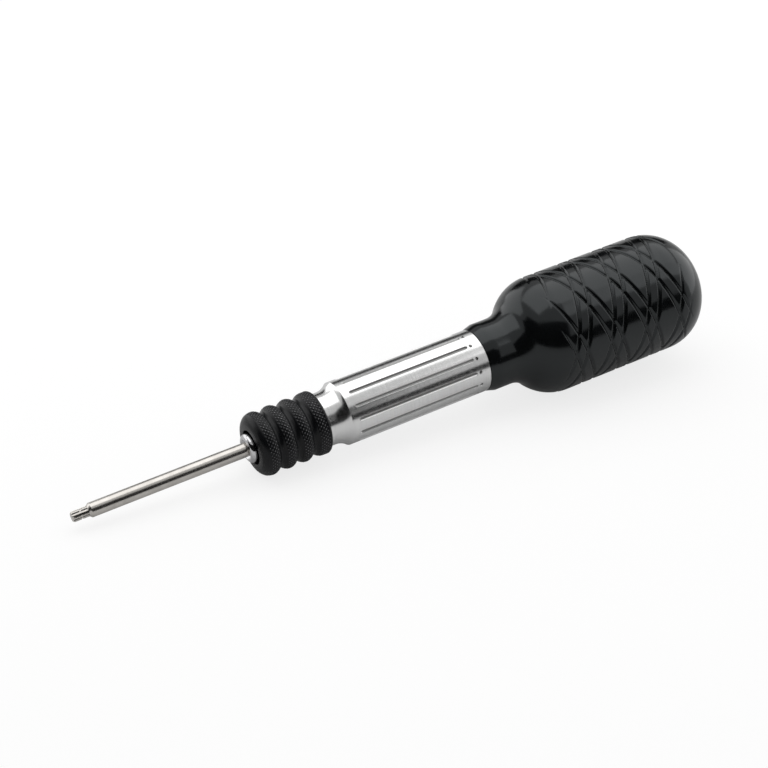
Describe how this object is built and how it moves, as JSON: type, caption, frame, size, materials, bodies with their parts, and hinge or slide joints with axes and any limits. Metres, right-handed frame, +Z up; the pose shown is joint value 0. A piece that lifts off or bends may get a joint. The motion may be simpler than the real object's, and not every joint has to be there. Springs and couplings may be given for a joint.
{
  "type": "torque screwdriver",
  "caption": "Preset torque screwdriver with a large black grooved grip, a fluted aluminium barrel, a black ridged quick-release sleeve and a steel blade with a star tip, lying on its side",
  "frame": {"origin": "middle of the bounding box's floor rectangle, with the tool lying at rest on the floor", "axes": "+X from the drive tip towards the handle, +Z up, +Y across; the tool's own axis rises by 5.2 degrees towards the handle"},
  "size_m": [0.22, 0.0386, 0.0423],
  "materials": {
    "grip_plastic": "moulded gloss",
    "turned_aluminium": "fine turned",
    "black_anodised": "black anodised, knurled crowns",
    "polished_steel": "polished",
    "blade_steel": "satin",
    "spring_steel": "oiled",
    "hard_steel": "ground",
    "ball_steel": "polished balls",
    "bronze": "sintered",
    "felt": "greased felt"
  },
  "bodies": {
    "housing": {"handle_grip": "grip_plastic", "barrel": "turned_aluminium", "front_bush": "bronze", "shaft_seal": "felt", "thrust_washer": "hard_steel", "guide_pins": "hard_steel", "clutch_spring": "spring_steel", "spring_seat": "hard_steel", "torque_adjuster": "hard_steel", "lock_nut": "hard_steel", "tail_plug": "grip_plastic"},
    "output": {"drive_shaft": "hard_steel", "clutch_balls": "ball_steel", "coupling_socket": "polished_steel", "coupling_pin": "hard_steel", "blade": "blade_steel", "snap_ring": "spring_steel", "sleeve_spring": "spring_steel"},
    "pressure_plate": {"pressure_plate": "hard_steel"},
    "sleeve": {"lock_sleeve": "black_anodised"},
    "lock_ball_1": {"lock_ball_1": "ball_steel"},
    "lock_ball_2": {"lock_ball_2": "ball_steel"},
    "lock_ball_3": {"lock_ball_3": "ball_steel"}
  },
  "joints": [
    {"name": "output_spin", "type": "hinge", "parent": "housing", "child": "output", "pos_m": [-0.0265, 0, 0.0121], "axis": [0.996, 0, 0.0898], "continuous": true},
    {"name": "clutch_lift", "type": "slide", "parent": "housing", "child": "pressure_plate", "axis": [0.996, 0, 0.0898], "range_m": [0, 0.00035], "stiffness_N_per_m": 60000, "springref_m": -0.004, "deforming": ["clutch_spring"]},
    {"name": "sleeve_slide", "type": "slide", "parent": "output", "child": "sleeve", "axis": [0.996, 0, 0.0898], "range_m": [0, 0.003], "stiffness_N_per_m": 1500, "springref_m": -0.004, "deforming": ["sleeve_spring"]},
    {"name": "lock_ball_1_lift", "type": "slide", "parent": "output", "child": "lock_ball_1", "axis": [-0.0898, 0, 0.996], "range_m": [0, 0.00065]},
    {"name": "lock_ball_2_lift", "type": "slide", "parent": "output", "child": "lock_ball_2", "axis": [0.0449, -0.866, -0.498], "range_m": [0, 0.00065]},
    {"name": "lock_ball_3_lift", "type": "slide", "parent": "output", "child": "lock_ball_3", "axis": [0.0449, 0.866, -0.498], "range_m": [0, 0.00065]}
  ],
  "couplings": [
    {"joint": "lock_ball_1_lift", "follows": "sleeve_slide", "ratio": 0.21667},
    {"joint": "lock_ball_2_lift", "follows": "sleeve_slide", "ratio": 0.21667},
    {"joint": "lock_ball_3_lift", "follows": "sleeve_slide", "ratio": 0.21667}
  ]
}
